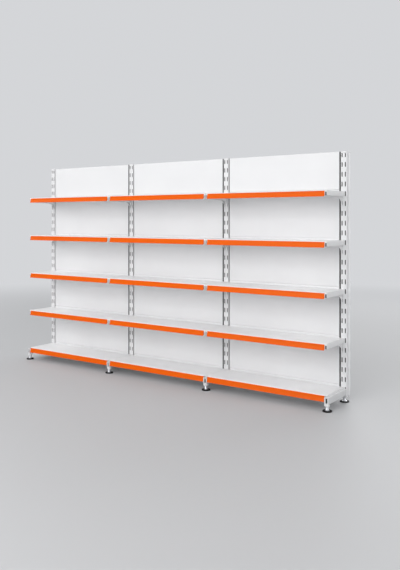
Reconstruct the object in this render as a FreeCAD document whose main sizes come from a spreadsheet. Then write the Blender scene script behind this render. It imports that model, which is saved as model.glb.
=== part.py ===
"""Three-bay wall shelving for a shop: slotted uprights, hook-in brackets and lift-off shelf trays.

Frame: +X along the run, +Y to the wall, +Z up, origin on the floor under the middle of the part.
Every body has its local origin on the plane of the uprights' front faces. All sizes are millimetres.
"""
import FreeCAD, Part
import math
import operator
import os
from types import SimpleNamespace

import Sketcher
from FreeCAD import Vector

BAYS = 3
UPPER_LEVELS = 4
HOOKS_PER_BRACKET = 2
SLOTS_PER_SHELF = 5

# Sides of the turned pieces, kept few because the feet repeat
PAD_SIDES = 20
STEM_SIDES = 12
NUT_SIDES = 6

DRIVING_SIZES = {
    # Layout of the run
    "bay_length": 1000,
    "base_level": 110,
    "run_height": 1800,
    # Uprights
    "upright_width": 46,
    "upright_depth": 30,
    "upright_wall": 2,
    "upright_corner": 3,
    "flange_overlap": 4,
    "upright_bottom": 40,
    "foot_plate": 3,
    "slot_spacing": 70,
    "slot_side_clearance": 2,
    "slot_entry_clearance": 14,
    "slot_offset": 12.5,
    "slot_top_margin": 6,
    # Upright caps
    "cap_thickness": 3,
    "cap_plug_depth": 12,
    "push_fit_clearance": 0.3,
    # Back panels
    "panel_gap": 10,
    "panel_sheet": 1,
    "panel_seam": 1,
    "panel_bottom": 45,
    "panel_seam_lift": 15,
    "panel_top_drop": 3,
    # Shelf trays
    "tray_depth": 288,
    "tray_sheet": 1,
    "tray_gap": 4,
    "tray_rear_gap": 0.5,
    "tray_front_flange": 40,
    "tray_front_return": 12,
    "tray_corner_relief": 11,
    "tray_corner_lip": 12,
    "tray_rear_flange": 36,
    "tray_end_flange": 36,
    "tray_base_end_flange": 12,
    "tray_notch_clearance": 1,
    # Ticket rails
    "rail_end_gap": 35,
    "rail_height": 39,
    "rail_drop": 5,
    "rail_lean": 10,
    "rail_wall": 2,
    "rail_seat_margin": 1,
    "lip_height": 5,
    "lip_wall": 1.2,
    "ticket_slot": 1,
    # Shelf brackets
    "bracket_sheet": 4,
    "bracket_nose": 40,
    "bracket_root": 47,
    "bracket_root_reach": 42,
    "bracket_sweep": 60,
    "bracket_nose_bevel": 10,
    "bracket_nose_clearance": 3,
    "bracket_heel_width": 6,
    "bracket_heel_straight": 18,
    "bracket_heel_margin": 1,
    "hook_neck": 10,
    "hook_tongue": 11,
    "hook_tip_clearance": 21,
    "hook_thickness": 5,
    "hook_clearance": 0.3,
    # Base legs
    "leg_wall": 1.5,
    "leg_hook_margin": 23.5,
    "leg_nose": 8,
    "leg_hook_plate": 40,
    "boss_diameter": 40,
    "boss_height": 14,
    # Leg end plugs
    "plug_plate": 3,
    "plug_depth": 12,
    "plug_slot_side": 9,
    "plug_slot_margin": 7,
    # Levelling feet
    "foot_setback": 12,
    "pad_diameter": 66,
    "pad_height": 8,
    "foot_disc_diameter": 36,
    "foot_disc_thickness": 3,
    "front_stem_diameter": 25,
    "rear_stem_diameter": 20,
    "thread_clearance": 0.3,
    "lock_nut_corners": 34.6,
    "lock_nut_height": 8,
    "rear_thread_length": 18,
}


class Size:
    """A number together with the sheet formula that gives it, so that arithmetic carries both."""

    SIGNS = {"+": operator.add, "-": operator.sub, "*": operator.mul, "/": operator.truediv}

    def __init__(self, number, formula):
        self.number = number
        self.formula = formula

    @staticmethod
    def of(term):
        """The term itself if it is a Size, or a plain number as a Size."""
        return term if isinstance(term, Size) else Size(term, repr(term))

    @staticmethod
    def joined(left, sign, right):
        """Left and right terms joined by one arithmetic sign."""
        left = Size.of(left)
        right = Size.of(right)
        number = Size.SIGNS[sign](left.number, right.number)
        return Size(number, f"({left.formula} {sign} {right.formula})")

    def __add__(self, other):
        return Size.joined(self, "+", other)

    def __radd__(self, other):
        return Size.joined(other, "+", self)

    def __sub__(self, other):
        return Size.joined(self, "-", other)

    def __rsub__(self, other):
        return Size.joined(other, "-", self)

    def __mul__(self, other):
        return Size.joined(self, "*", other)

    def __rmul__(self, other):
        return Size.joined(other, "*", self)

    def __truediv__(self, other):
        return Size.joined(self, "/", other)

    def __neg__(self):
        return Size.joined(0, "-", self)

    def floor(self):
        """The whole number below this size."""
        return Size(math.floor(self.number), f"floor({self.formula})")


def make_sheet(document):
    """Sheet of driving dimensions, and the same sizes as named Size values."""
    sheet = document.addObject("Spreadsheet::Sheet", "sizes")
    named = {}
    for row, (alias, number) in enumerate(DRIVING_SIZES.items(), start=1):
        sheet.set(f"A{row}", alias)
        sheet.set(f"B{row}", str(number))
        sheet.setAlias(f"B{row}", alias)
        named[alias] = Size(number, f"sizes.{alias}")
    document.recompute()
    return SimpleNamespace(**named)


document = FreeCAD.newDocument("wall_retail_shelving")
s = make_sheet(document)

# Places that several pieces share, measured from the floor or from the uprights' front plane

shelf_spacing = SLOTS_PER_SHELF * s.slot_spacing
upright_end = s.run_height - s.cap_thickness
slot_first = s.upright_bottom + s.foot_plate + s.hook_tongue + s.hook_tip_clearance
slot_height = s.hook_neck + s.hook_tongue + s.slot_entry_clearance
slot_width = s.bracket_sheet + 2 * s.slot_side_clearance
leg_half = s.slot_offset + s.bracket_sheet / 2 + s.leg_wall
leg_bottom = slot_first - s.leg_hook_margin - s.leg_wall
leg_top = s.base_level - s.tray_base_end_flange
tray_front = s.tray_rear_gap + s.tray_depth
leg_reach = tray_front + s.leg_nose
foot_reach = leg_reach - s.foot_setback
foot_depth = s.upright_depth / 2
foot_disc_top = s.pad_height + s.foot_disc_thickness
face_y = (foot_reach - foot_depth) / 2
tray_length = s.bay_length - s.tray_gap
rail_length = s.bay_length - s.rail_end_gap
notch_half = leg_half + s.tray_notch_clearance
notched_length = s.bay_length - 2 * notch_half
panel_width = s.bay_length - s.upright_width - 2 * s.panel_gap
panel_depth = s.upright_depth - s.upright_wall
front_bore = s.front_stem_diameter + 2 * s.thread_clearance
rear_bore = s.rear_stem_diameter + 2 * s.thread_clearance


def bind(thing, name, size):
    """Tie one property of a document object to the sheet."""
    thing.setExpression(name, Size.of(size).formula)


def place(thing, x, y, z):
    """Put a thing at x along the run, y behind the uprights' front plane and z above the floor."""
    bind(thing, "Placement.Base.x", x)
    bind(thing, "Placement.Base.y", face_y + y)
    bind(thing, "Placement.Base.z", z)


def new_body(label, x=0, y=0, z=0):
    """Empty body at a place in the run."""
    body = document.addObject("PartDesign::Body", label)
    body.Label = label
    place(body, x, y, z)
    return body


def origin_feature(body, role):
    """Origin plane or axis of a body, by its role."""
    return next(feature for feature in body.Origin.OriginFeatures if feature.Role == role)


def sketch_on(body, role, offset=0):
    """New sketch on an origin plane of the body, moved along the plane's normal."""
    sketch = body.newObject("Sketcher::SketchObject", "sketch")
    sketch.AttachmentSupport = [(origin_feature(body, role), "")]
    sketch.MapMode = "FlatFace"
    bind(sketch, "AttachmentOffset.Base.z", offset)
    return sketch


def place_point(sketch, edge, end, x, y):
    """Fix one end of an edge at x and y from the sketch origin."""
    for kind, size in (("DistanceX", x), ("DistanceY", y)):
        size = Size.of(size)
        index = sketch.addConstraint(Sketcher.Constraint(kind, -1, 1, edge, end, size.number))
        sketch.setExpression(f"Constraints[{index}]", size.formula)


def draw_outline(sketch, corners):
    """Closed outline of straight edges through the corners, each an (x, y) pair of sizes."""
    first = sketch.GeometryCount
    count = len(corners)
    points = [Vector(Size.of(x).number, Size.of(y).number, 0) for x, y in corners]
    for index in range(count):
        sketch.addGeometry(Part.LineSegment(points[index], points[(index + 1) % count]))
    for index in range(count):
        following = first + (index + 1) % count
        sketch.addConstraint(Sketcher.Constraint("Coincident", first + index, 2, following, 1))
    for index, (x, y) in enumerate(corners):
        place_point(sketch, first + index, 1, x, y)


def draw_rectangle(sketch, left, right, bottom, top):
    """Upright rectangle between four sizes."""
    draw_outline(sketch, [(left, bottom), (right, bottom), (right, top), (left, top)])


def draw_circle(sketch, diameter, x=0, y=0):
    """Circle of a given diameter about a point."""
    centre = Vector(Size.of(x).number, Size.of(y).number, 0)
    edge = sketch.addGeometry(Part.Circle(centre, Vector(0, 0, 1), diameter.number / 2))
    place_point(sketch, edge, 3, x, y)
    index = sketch.addConstraint(Sketcher.Constraint("Diameter", edge, diameter.number))
    sketch.setExpression(f"Constraints[{index}]", diameter.formula)


def pad(body, sketch, length, symmetric=False, backwards=False):
    """Extrude a sketch along its normal, to both sides or the other way if asked."""
    feature = body.newObject("PartDesign::Pad", "pad")
    feature.Profile = sketch
    feature.SideType = "Symmetric" if symmetric else "One side"
    feature.Reversed = backwards
    bind(feature, "Length", length)
    return feature


def pocket(body, sketch, depth):
    """Cut a sketch into the body, against the sketch's normal."""
    feature = body.newObject("PartDesign::Pocket", "pocket")
    feature.Profile = sketch
    bind(feature, "Length", depth)
    return feature


def repeat(body, originals, role, spacing, count):
    """Copies of features in a row along an origin axis."""
    feature = body.newObject("PartDesign::LinearPattern", "pattern")
    feature.Originals = originals
    feature.Direction = (origin_feature(body, role), [""])
    feature.Mode = "Spacing"
    bind(feature, "Offset", spacing)
    bind(feature, "Occurrences", count)
    body.Tip = feature
    return feature


def round_edges(body, base, radius, **middle):
    """Round every edge whose middle lies at the given x, y or z."""
    document.recompute()
    wanted = [(axis, Size.of(size).number) for axis, size in middle.items()]
    names = []
    for index, edge in enumerate(base.Shape.Edges, start=1):
        found = edge.CenterOfMass
        if all(math.isclose(getattr(found, axis), number, abs_tol=0.01) for axis, number in wanted):
            names.append(f"Edge{index}")
    feature = body.newObject("PartDesign::Fillet", "fillet")
    feature.Base = (base, names)
    bind(feature, "Radius", radius)
    return feature


def prism(label, sides, diameter, x, y, low, high):
    """Many-sided turned piece between two heights."""
    piece = document.addObject("Part::Prism", label)
    piece.Polygon = sides
    bind(piece, "Circumradius", diameter / 2)
    bind(piece, "Height", high - low)
    place(piece, x, y, low)
    return piece


def compound(label, pieces):
    """Several solids under one label."""
    whole = document.addObject("Part::Compound", label)
    whole.Label = label
    whole.Links = pieces
    return whole


def upright_x(index):
    """Centre line of an upright, counted from 0 at the left end."""
    return (index - BAYS / 2) * s.bay_length


def bay_x(bay):
    """Middle of a bay, counted from 0 at the left end."""
    return (bay - (BAYS - 1) / 2) * s.bay_length


def level_z(level):
    """Height of a shelf surface, with the base shelf as level 0."""
    return s.base_level + level * shelf_spacing


def hook_corners(slot_edge):
    """Corners of one hook, from its neck down, for a slot whose lower edge is at slot_edge."""
    inner = s.upright_wall + s.hook_clearance
    outer = inner + s.hook_thickness
    neck_top = slot_edge + s.hook_neck
    tongue_end = slot_edge - s.hook_tongue
    return [(0, neck_top), (outer, neck_top), (outer, tongue_end),
            (inner, tongue_end), (inner, slot_edge), (0, slot_edge)]


def upright(index):
    """Closed roll-formed section with rear flanges, two slot columns and a welded foot plate."""
    body = new_body(f"upright_{index + 1}", upright_x(index), 0, s.upright_bottom)
    half = s.upright_width / 2
    wing = half + s.panel_gap + s.flange_overlap
    back = s.upright_depth
    shoulder = s.upright_depth - s.upright_wall
    section = sketch_on(body, "XY_Plane")
    draw_outline(section, [(-half, 0), (half, 0), (half, shoulder), (wing, shoulder),
                           (wing, back), (-wing, back), (-wing, shoulder), (-half, shoulder)])
    bore_half = half - s.upright_wall
    draw_rectangle(section, -bore_half, bore_half, s.upright_wall, shoulder)
    tube = pad(body, section, upright_end - s.upright_bottom)
    left_rounded = round_edges(body, tube, s.upright_corner, x=-half, y=0)
    round_edges(body, left_rounded, s.upright_corner, x=half, y=0)

    plate = sketch_on(body, "XY_Plane")
    draw_rectangle(plate, -bore_half, bore_half, s.upright_wall, shoulder)
    draw_circle(plate, rear_bore, 0, foot_depth)
    pad(body, plate, s.foot_plate)

    slots = sketch_on(body, "XZ_Plane")
    low = slot_first - s.upright_bottom
    for side in (-1, 1):
        middle = side * s.slot_offset
        draw_rectangle(slots, middle - slot_width / 2, middle + slot_width / 2, low, low + slot_height)
    first_row = pocket(body, slots, s.upright_wall)
    room = upright_end - s.slot_top_margin - slot_height - slot_first
    repeat(body, [first_row], "Z_Axis", s.slot_spacing, (room / s.slot_spacing).floor() + 1)
    return body


def upright_caps():
    """Plastic caps: a plate over the end of each upright and a plug inside it."""
    body = new_body("upright_caps", upright_x(0), 0, upright_end)
    half = s.upright_width / 2
    plate = sketch_on(body, "XY_Plane")
    draw_rectangle(plate, -half, half, 0, s.upright_depth)
    top = pad(body, plate, s.cap_thickness)
    inset = s.upright_wall + s.push_fit_clearance
    plug = sketch_on(body, "XY_Plane")
    draw_rectangle(plug, inset - half, half - inset, inset, s.upright_depth - inset)
    stub = pad(body, plug, s.cap_plug_depth, backwards=True)
    repeat(body, [top, stub], "X_Axis", s.bay_length, BAYS + 1)
    return body


def base_leg(index):
    """Rectangular tube along the floor, with two welded hook plates behind."""
    body = new_body(f"base_leg_{index + 1}", upright_x(index))
    half = leg_half
    tube = sketch_on(body, "XZ_Plane")
    draw_rectangle(tube, -half, half, leg_bottom, leg_top)
    inner_low = leg_bottom + s.leg_wall
    inner_high = leg_top - s.leg_wall
    draw_rectangle(tube, s.leg_wall - half, half - s.leg_wall, inner_low, inner_high)
    pad(body, tube, leg_reach)

    inner_wall = half - s.leg_wall
    for side in (-1, 1):
        plate = sketch_on(body, "YZ_Plane", side * inner_wall)
        draw_outline(plate, [(-s.leg_hook_plate, inner_high), (0, inner_high), *hook_corners(slot_first),
                             (0, inner_low), (-s.leg_hook_plate, inner_low)])
        pad(body, plate, s.bracket_sheet, backwards=side > 0)
    return body


def foot_bosses():
    """Threaded collars under the front ends of the legs."""
    low = leg_bottom - s.boss_height
    collars = []
    for index in range(BAYS + 1):
        x = upright_x(index)
        collar = document.addObject("Part::Cut", f"foot_boss_{index + 1}")
        collar.Base = prism(f"boss_{index + 1}", PAD_SIDES, s.boss_diameter, x, -foot_reach, low, leg_bottom)
        collar.Tool = prism(f"bore_{index + 1}", STEM_SIDES, front_bore, x, -foot_reach, low, leg_bottom)
        collars.append(collar)
    return compound("foot_bosses", collars)


def leg_end_plugs():
    """Plugs in the front ends of the legs, each a plate with a vertical slot and a sleeve in the tube."""
    body = new_body("leg_end_plugs", upright_x(0), -leg_reach)
    half = leg_half
    slot_half = half - s.plug_slot_side
    slot_low = leg_bottom + s.plug_slot_margin
    slot_high = leg_top - s.plug_slot_margin
    inset = s.leg_wall + s.push_fit_clearance
    plate = sketch_on(body, "XZ_Plane")
    draw_rectangle(plate, -half, half, leg_bottom, leg_top)
    draw_rectangle(plate, -slot_half, slot_half, slot_low, slot_high)
    face = pad(body, plate, s.plug_plate)
    sleeve = sketch_on(body, "XZ_Plane")
    draw_rectangle(sleeve, inset - half, half - inset, leg_bottom + inset, leg_top - inset)
    draw_rectangle(sleeve, -slot_half, slot_half, slot_low, slot_high)
    plug = pad(body, sleeve, s.plug_depth, backwards=True)
    repeat(body, [face, plug], "X_Axis", s.bay_length, BAYS + 1)
    return body


def foot(label, x, y, steps):
    """Levelling foot: a stem of (sides, diameter, low, high) steps fused together, on a rubber pad."""
    turned = [prism(f"{label}_step_{number}", sides, diameter, x, y, low, high)
              for number, (sides, diameter, low, high) in enumerate(steps)]
    stem = document.addObject("Part::MultiFuse", f"{label}_stem")
    stem.Shapes = turned
    rubber = prism(f"{label}_pad", PAD_SIDES, s.pad_diameter, x, y, 0, s.pad_height)
    return compound(label, [stem, rubber])


def foot_plate_step():
    """Plate at the bottom of a stem, on the rubber pad."""
    return (PAD_SIDES, s.foot_disc_diameter, s.pad_height, foot_disc_top)


def front_foot(index):
    """Foot under the front end of a leg, screwed through its boss as far as the leg."""
    steps = [foot_plate_step(), (STEM_SIDES, s.front_stem_diameter, foot_disc_top, leg_bottom)]
    return foot(f"front_foot_{index + 1}", upright_x(index), -foot_reach, steps)


def rear_foot(index):
    """Foot under an upright, with its lock nut tight against the foot plate."""
    nut_low = s.upright_bottom - s.lock_nut_height
    stem_end = s.upright_bottom + s.rear_thread_length
    steps = [foot_plate_step(), (STEM_SIDES, s.rear_stem_diameter, foot_disc_top, stem_end),
             (NUT_SIDES, s.lock_nut_corners, nut_low, s.upright_bottom)]
    return foot(f"rear_foot_{index + 1}", upright_x(index), foot_depth, steps)


def folded_panel(body, low, high):
    """One panel between two heights: a face sheet with returns on all four sides, open to the wall."""
    half = panel_width / 2
    skin = half - s.panel_sheet
    sides = sketch_on(body, "XY_Plane", low)
    draw_outline(sides, [(-half, 0), (half, 0), (half, panel_depth), (skin, panel_depth),
                         (skin, s.panel_sheet), (-skin, s.panel_sheet), (-skin, panel_depth),
                         (-half, panel_depth)])
    upright_folds = pad(body, sides, high - low)
    ends = sketch_on(body, "YZ_Plane")
    draw_rectangle(ends, 0, panel_depth, low, low + s.panel_sheet)
    draw_rectangle(ends, 0, panel_depth, high - s.panel_sheet, high)
    level_folds = pad(body, ends, panel_width, symmetric=True)
    return [upright_folds, level_folds]


def back_panels(bay):
    """Column of panels in one bay: a low skirting panel, equal panels, and a top panel cut to height."""
    body = new_body(f"back_panels_bay_{bay + 1}", bay_x(bay))
    first_seam = s.base_level + s.panel_seam_lift
    last_seam = first_seam + UPPER_LEVELS * shelf_spacing
    folded_panel(body, s.panel_bottom, first_seam - s.panel_seam)
    folded_panel(body, last_seam, s.run_height - s.panel_top_drop)
    full_panel = folded_panel(body, first_seam, first_seam + shelf_spacing - s.panel_seam)
    repeat(body, full_panel, "Z_Axis", shelf_spacing, UPPER_LEVELS)
    return body


def shelf_tray(bay, level):
    """Folded shelf: surface with end flanges, a front flange with a return, and a notched rear flange.

    The front flange of an upper shelf stops short of the ends below its corner lip; that of a base shelf
    fits between the legs.
    """
    name = f"level_{level}" if level else "base"
    body = new_body(f"shelf_tray_bay_{bay + 1}_{name}", bay_x(bay), 0, level_z(level))
    half = tray_length / 2
    skin = half - s.tray_sheet
    end_flange = s.tray_end_flange if level else s.tray_base_end_flange
    front_length = tray_length - 2 * s.tray_corner_relief if level else notched_length

    surface = sketch_on(body, "XZ_Plane", s.tray_rear_gap)
    draw_outline(surface, [(-half, 0), (half, 0), (half, -end_flange), (skin, -end_flange),
                           (skin, -s.tray_sheet), (-skin, -s.tray_sheet), (-skin, -end_flange),
                           (-half, -end_flange)])
    pad(body, surface, s.tray_depth)

    front = -tray_front
    front_skin = front + s.tray_sheet
    low = -s.tray_front_flange
    return_skin = low + s.tray_sheet
    return_end = front + s.tray_front_return
    flange = sketch_on(body, "YZ_Plane")
    draw_outline(flange, [(front, 0), (front, low), (return_end, low), (return_end, return_skin),
                          (front_skin, return_skin), (front_skin, 0)])
    pad(body, flange, front_length, symmetric=True)
    if level:
        lip = sketch_on(body, "YZ_Plane")
        draw_rectangle(lip, front, front_skin, -s.tray_corner_lip, 0)
        pad(body, lip, tray_length, symmetric=True)

    rear = sketch_on(body, "YZ_Plane")
    rear_face = -s.tray_rear_gap
    draw_rectangle(rear, rear_face - s.tray_sheet, rear_face, -s.tray_rear_flange, 0)
    pad(body, rear, notched_length, symmetric=True)
    return body


def ticket_rail(bay, level):
    """Extruded ticket rail: a back leg on the tray's front flange and a leaning front joined at the top.

    The front has a lip along its upper and its lower edge, and a ticket slides in behind both.
    """
    name = f"level_{level}" if level else "base"
    body = new_body(f"ticket_rail_bay_{bay + 1}_{name}", bay_x(bay), 0, level_z(level))
    back = -tray_front
    root = back - s.rail_wall
    top = -s.rail_drop
    low = top - s.rail_height
    back_low = s.rail_seat_margin - s.tray_front_flange
    crotch = top - s.rail_height * s.rail_wall / s.rail_lean

    def on_face(height, stand_off=0):
        """Point in front of the leaning face, at a height above the rail's lower edge."""
        return (root - s.rail_lean + s.rail_lean * height / s.rail_height - stand_off, low + height)

    lip_face = s.ticket_slot + s.lip_wall
    upper_lip = [on_face(s.rail_height, lip_face), on_face(s.rail_height - s.lip_height, lip_face),
                 on_face(s.rail_height - s.lip_height, s.ticket_slot),
                 on_face(s.rail_height - s.lip_wall, s.ticket_slot), on_face(s.rail_height - s.lip_wall)]
    lower_lip = [on_face(s.lip_wall), on_face(s.lip_wall, s.ticket_slot),
                 on_face(s.lip_height, s.ticket_slot),
                 on_face(s.lip_height, lip_face), on_face(Size.of(0), lip_face)]
    section = sketch_on(body, "YZ_Plane")
    draw_outline(section, [(back, top), *upper_lip, *lower_lip, (back - s.rail_lean, low),
                           (root, crotch), (root, back_low), (back, back_low)])
    pad(body, section, rail_length, symmetric=True)
    return body


def brackets(level, hand):
    """Hook-in plates of one level and hand: a tapered arm whose lower edge sweeps down to a hooked heel."""
    side = {"left": 1, "right": -1}[hand]
    first = upright_x(0 if hand == "left" else 1)
    body = new_body(f"brackets_level_{level}_{hand}", first + side * s.slot_offset, 0, level_z(level))
    top = -s.tray_sheet
    nose = s.tray_front_return + s.bracket_nose_clearance - tray_front
    nose_low = top - s.bracket_nose
    root_low = top - s.bracket_root
    root_front = -s.bracket_root_reach
    heel_front = -s.bracket_heel_width
    slot_edges = [slot_first - s.base_level - row * s.slot_spacing for row in range(HOOKS_PER_BRACKET)]
    heel_low = slot_edges[-1] - s.bracket_heel_margin
    corners = [(nose, top), (0, top)]
    for slot_edge in slot_edges:
        corners += hook_corners(slot_edge)
    corners += [(0, heel_low), (heel_front, heel_low), (heel_front, heel_low + s.bracket_heel_straight),
                (root_front, root_low),
                (nose + s.bracket_nose_bevel, nose_low), (nose, nose_low + s.bracket_nose_bevel)]
    plate = sketch_on(body, "YZ_Plane")
    draw_outline(plate, corners)
    blank = pad(body, plate, s.bracket_sheet, symmetric=True)
    round_edges(body, blank, s.bracket_sweep, y=root_front, z=root_low)
    document.recompute()
    whole = repeat(body, [], "X_Axis", s.bay_length, BAYS)
    whole.TransformMode = "Whole shape"
    return body


def build_parts():
    """All sub-parts of the run, in the order of assembly."""
    parts = [upright(index) for index in range(BAYS + 1)]
    parts.append(upright_caps())
    parts += [base_leg(index) for index in range(BAYS + 1)]
    parts += [leg_end_plugs(), foot_bosses()]
    parts += [front_foot(index) for index in range(BAYS + 1)]
    parts += [rear_foot(index) for index in range(BAYS + 1)]
    parts += [back_panels(bay) for bay in range(BAYS)]
    for level in range(1, UPPER_LEVELS + 1):
        parts += [brackets(level, hand) for hand in ("left", "right")]
    for bay in range(BAYS):
        for level in range(UPPER_LEVELS + 1):
            parts += [shelf_tray(bay, level), ticket_rail(bay, level)]
    return parts


def check_parts(parts):
    """Stop if any object failed to compute or any sub-part has no valid shape."""
    for thing in document.Objects:
        if {"Invalid", "Error"} & set(thing.State):
            raise RuntimeError(f"{thing.Label} did not compute: {thing.State}")
    for part in parts:
        if part.Shape.isNull() or not part.Shape.isValid():
            raise RuntimeError(f"{part.Label} has no valid shape")


def export_parts(parts):
    """Write each sub-part to a file of its own."""
    os.makedirs("parts", exist_ok=True)
    for part in parts:
        part.Shape.exportStep(f"parts/{part.Label}.step")
        print(part.Label, len(part.Shape.Solids), round(part.Shape.Volume))


shelving = build_parts()
document.recompute()
check_parts(shelving)
export_parts(shelving)
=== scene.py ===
"""Dressed scene of a three-bay wall shelving run for a shop.

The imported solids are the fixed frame. Every piece is rebuilt here as numpy surfaces, with the bends, rounded
edges, slots and threads of the real one, and stands for its solid. Lengths are metres: +X along the run, +Y
to the wall, +Z up.
"""

import logging
import math
from dataclasses import dataclass, field
from enum import Enum
from functools import cache

import bmesh
import bpy
import numpy as np
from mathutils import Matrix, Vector

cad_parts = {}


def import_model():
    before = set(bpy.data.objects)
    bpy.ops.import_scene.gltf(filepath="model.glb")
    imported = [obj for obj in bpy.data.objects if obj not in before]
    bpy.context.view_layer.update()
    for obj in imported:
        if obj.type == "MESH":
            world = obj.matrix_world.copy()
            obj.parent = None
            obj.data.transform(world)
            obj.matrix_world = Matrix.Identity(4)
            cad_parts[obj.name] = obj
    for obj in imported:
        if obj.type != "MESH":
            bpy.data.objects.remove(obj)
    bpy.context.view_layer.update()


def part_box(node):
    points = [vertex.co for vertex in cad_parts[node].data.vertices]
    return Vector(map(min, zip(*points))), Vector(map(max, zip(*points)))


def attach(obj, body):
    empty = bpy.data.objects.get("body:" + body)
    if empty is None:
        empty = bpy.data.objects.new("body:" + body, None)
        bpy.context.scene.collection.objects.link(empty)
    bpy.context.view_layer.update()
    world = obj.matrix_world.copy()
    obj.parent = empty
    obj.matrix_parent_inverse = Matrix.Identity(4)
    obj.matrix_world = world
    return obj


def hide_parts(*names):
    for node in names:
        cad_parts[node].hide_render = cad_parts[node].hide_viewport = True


log = logging.getLogger("shelving")

Array = np.ndarray
Object = bpy.types.Object
Tree = bpy.types.NodeTree
Socket = bpy.types.NodeSocket
Outputs = bpy.types.NodeOutputs
Pair = tuple[float, float]
Triple = tuple[float, float, float]

BAYS = 3
UPPER_LEVELS = 4
BASE_LEVEL = 0.110
SHELF_SPACING = 0.350
FACE_Y = 0.13475
SLOT_OFFSET = 0.0125
MERGE_DISTANCE = 1e-6
PLATE_ARC_STEPS = 8
FULL_TURN = 2.0 * math.pi


class Slot(Enum):
    """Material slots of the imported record."""

    COAT = "white_powder_coat"
    PLASTIC = "white_plastic"
    RAIL = "orange_plastic"
    ZINC = "zinc_steel"


class Plane(Enum):
    """Way that the face of a folded sheet looks: up, or away from the wall."""

    SHELF = (0.0, 0.0, 1.0)
    WALL = (0.0, -1.0, 0.0)


class Axis(Enum):
    """The axis that an outline is carried along."""

    X = 0
    Y = 1
    Z = 2


class FootRow(Enum):
    """Where a levelling foot stands: under the front of a leg, or under an upright."""

    FRONT = "front"
    REAR = "rear"


class Hand(Enum):
    """Side of its bay that a bracket stands on: the first upright that it hooks into, and its side of it."""

    LEFT = (0, 1.0)
    RIGHT = (1, -1.0)


# Surfaces as arrays


def rounded(corners: Array, radius: float | Array, steps: int, closed: bool = True) -> Array:
    """Polyline with every corner replaced by an arc.

    Each arc is a spherical interpolation, from the arc's centre, between the two tangent points that lie
    radius / tan(half angle) from the corner.

    Args:
        corners: Corner points, shape (n, 2).
        radius: One radius, or one for each corner.
        steps: Points on each arc.
        closed: Whether the last corner joins the first; an open line keeps its two ends as they are.

    Returns:
        Points of the rounded line, shape (k, 2).
    """
    middle = corners if closed else corners[1:-1]
    back = (np.roll(corners, 1, axis=0) if closed else corners[:-2]) - middle
    back /= np.linalg.norm(back, axis=1, keepdims=True)
    onward = (np.roll(corners, -1, axis=0) if closed else corners[2:]) - middle
    onward /= np.linalg.norm(onward, axis=1, keepdims=True)
    half = np.arccos(np.clip((back * onward).sum(axis=1), -1.0, 1.0)) / 2.0
    radii = np.broadcast_to(np.asarray(radius, float), half.shape)
    bisector = back + onward
    bisector /= np.linalg.norm(bisector, axis=1, keepdims=True)
    centre = middle + bisector * (radii / np.sin(half))[:, None]
    first = middle + back * (radii / np.tan(half))[:, None] - centre
    last = middle + onward * (radii / np.tan(half))[:, None] - centre
    turn = (np.pi - 2.0 * half)[:, None, None]
    share = np.linspace(0.0, 1.0, steps)[None, :, None]
    arcs = np.sin((1.0 - share) * turn) * first[:, None, :] + np.sin(share * turn) * last[:, None, :]
    points = (arcs / np.sin(turn) + centre[:, None, :]).reshape(-1, 2)
    return points if closed else np.vstack([corners[:1], points, corners[-1:]])


def softened(corners: list[Triple], steps: int) -> Array:
    """Closed outline through corners of (place, place, rounding), shape (k, 2)."""
    table = np.array(corners)
    return rounded(table[:, :2], table[:, 2], steps)


def rectangle(width: float, height: float) -> Array:
    """Corners of a rectangle about the origin, anticlockwise."""
    return np.array([[-0.5, -0.5], [0.5, -0.5], [0.5, 0.5], [-0.5, 0.5]]) * [width, height]


def carried(outline: Array, axis: Axis, places: Array | tuple[float, ...]) -> Array:
    """Flat outline carried along the axis that it doesn't lie in.

    Args:
        outline: Points in the two other axes, in the order X, Y, Z, shape (n, 2).
        axis: The axis to carry it along.
        places: Where the rings stand on that axis, shape (k,).

    Returns:
        Rings of points, shape (k, n, 3).
    """
    rings = np.empty((len(places), len(outline), 3))
    rings[:, :, axis.value] = np.asarray(places)[:, None]
    rings[:, :, [other.value for other in Axis if other is not axis]] = outline
    return rings


def stacked(layers: list[tuple[Array, float]]) -> Array:
    """Level (x, y) outlines, each at its own height, as rings of points, shape (k, n, 3)."""
    return np.concatenate([carried(outline, Axis.Z, (height,)) for outline, height in layers])


def about(centre: Array, radius: Array, angle: Array, height: Array) -> Array:
    """Points round a vertical axis, each the centre plus (radius cos angle, radius sin angle, height).

    Args:
        centre: A place on the axis, shape (3,).
        radius: Distances from the axis.
        angle: Angles round the axis.
        height: Heights above the centre.

    Returns:
        Places, shape (n, m, 3) where the three arrays broadcast to (n, m).
    """
    x = centre[0] + radius * np.cos(angle)
    y = centre[1] + radius * np.sin(angle)
    return np.stack(np.broadcast_arrays(x, y, centre[2] + height), axis=-1)


def round_angles(sides: int) -> Array:
    """Even angles of one turn, shape (1, sides)."""
    return np.linspace(0.0, FULL_TURN, sides, endpoint=False)[None, :]


def middle_of(solid: str) -> Array:
    """Middle of a solid's box, shape (3,)."""
    return np.array(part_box(solid), dtype=float).mean(axis=0)


def linked(name: str, data: bpy.types.ID) -> Object:
    """New object in the scene, at the origin.

    Args:
        name: Name of the object.
        data: Its mesh, light or camera.

    Returns:
        The new object.
    """
    made = bpy.data.objects.new(name, data)
    bpy.context.scene.collection.objects.link(made)
    return made


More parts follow.
